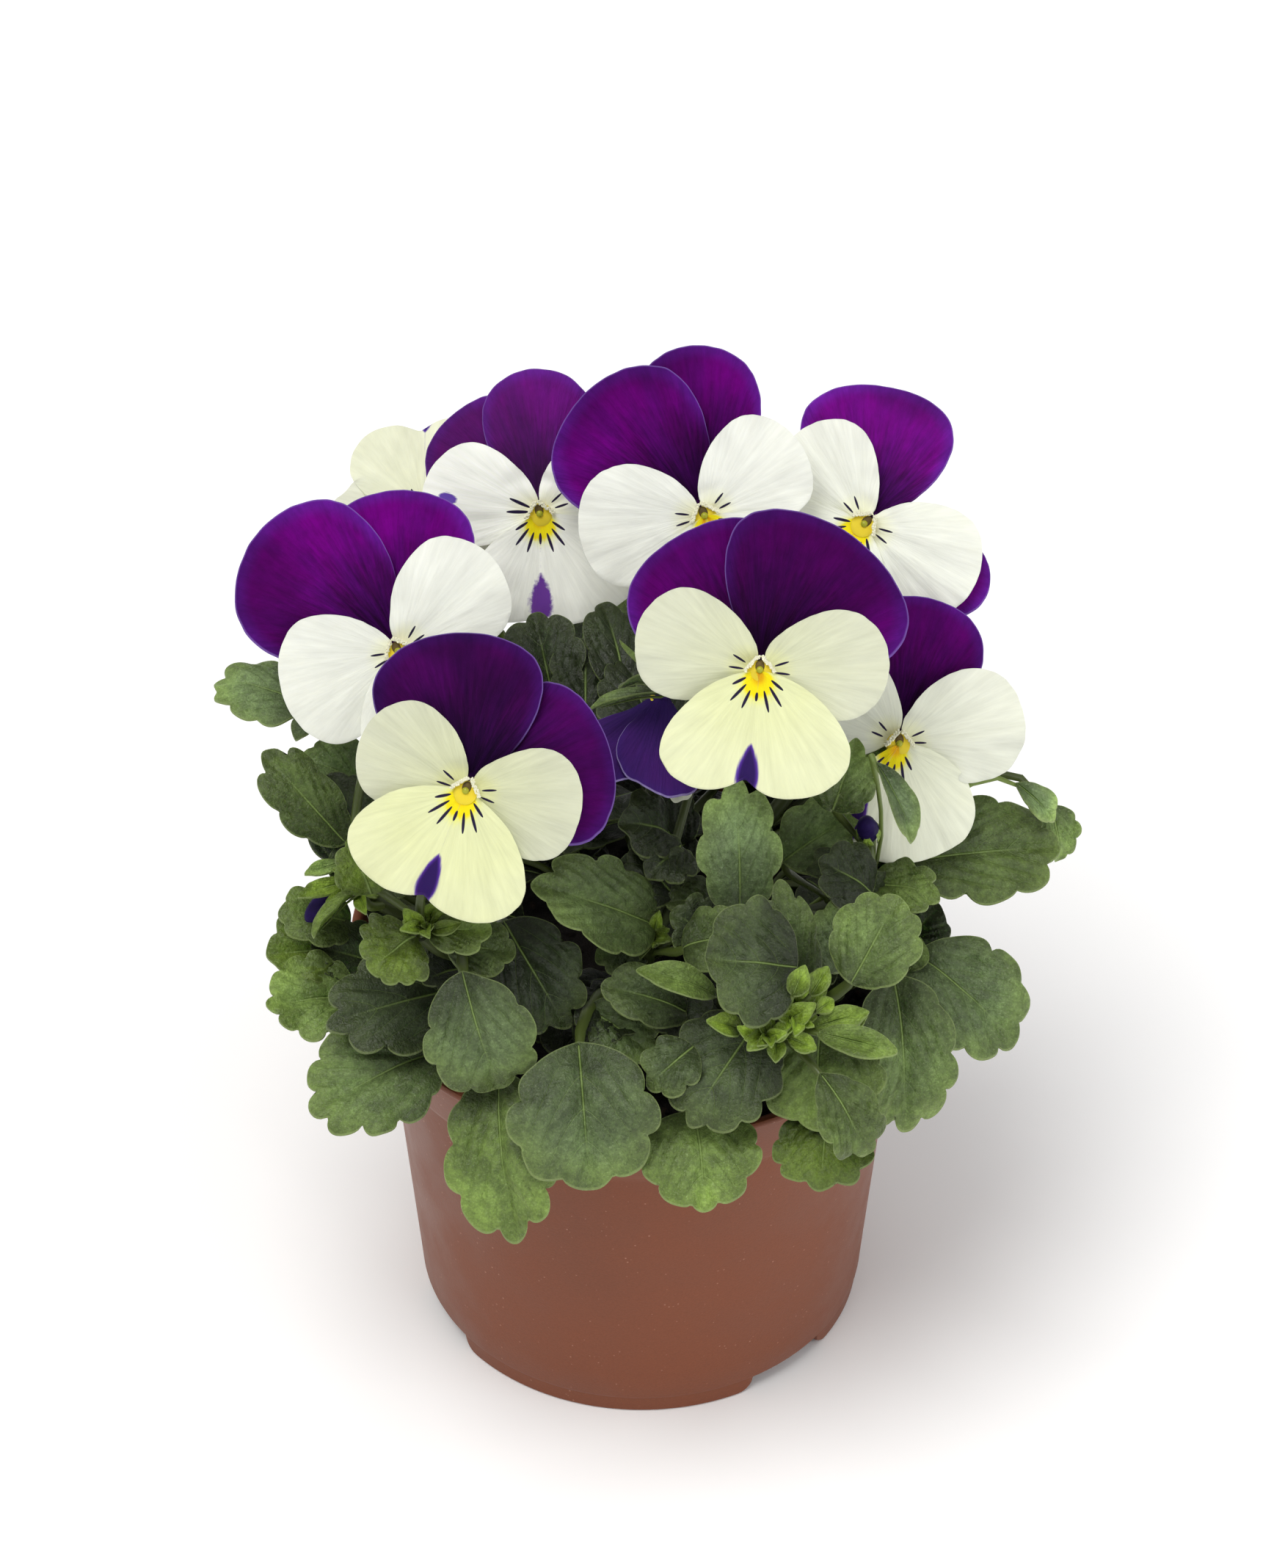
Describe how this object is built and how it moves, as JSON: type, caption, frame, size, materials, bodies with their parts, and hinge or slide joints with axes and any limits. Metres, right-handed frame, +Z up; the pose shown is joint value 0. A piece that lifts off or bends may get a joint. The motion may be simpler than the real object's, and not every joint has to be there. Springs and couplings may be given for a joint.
{
  "type": "potted pansy planter",
  "caption": "Compact pansy in bloom, with two-coloured flowers above leafy stems, planted in a round terracotta-coloured plastic nursery pot.",
  "frame": {"origin": "on the ground under the pot's axis, midway between the plant's widest reaches", "axes": "+Z up along the pot's axis; the plant's best side, where the blooms face, is towards -Y"},
  "size_m": [0.1546, 0.1305, 0.1823],
  "materials": {
    "pot": "satin, finely speckled brown terracotta",
    "soil": "matt crumbly dark soil",
    "leaves": "satin grey-green leaf",
    "purple_petals": "velvety purple petal",
    "white_petals": "soft white petal",
    "cream_petals": "soft cream petal"
  },
  "bodies": {
    "root": {"bloom_1_pale": "cream_petals", "bloom_1_purple": "purple_petals", "bloom_2_pale": "cream_petals", "bloom_2_purple": "purple_petals", "bloom_3_pale": "white_petals", "bloom_3_purple": "purple_petals", "bloom_4_pale": "white_petals", "bloom_4_purple": "purple_petals", "bloom_5_pale": "white_petals", "bloom_5_purple": "purple_petals", "bloom_6_pale": "white_petals", "bloom_6_purple": "purple_petals", "bloom_7_pale": "white_petals", "bloom_7_purple": "purple_petals", "bloom_8_pale": "cream_petals", "bloom_8_purple": "purple_petals", "bloom_9_pale": "white_petals", "bloom_9_purple": "purple_petals", "bud_left": "purple_petals", "bud_right": "purple_petals", "pot": "pot", "soil": "soil", "stem_back": "leaves", "stem_back_left": "leaves", "stem_back_right": "leaves", "stem_front": "leaves", "stem_front_left": "leaves", "stem_front_right": "leaves", "stem_left": "leaves", "stem_right": "leaves"}
  },
  "joints": []
}
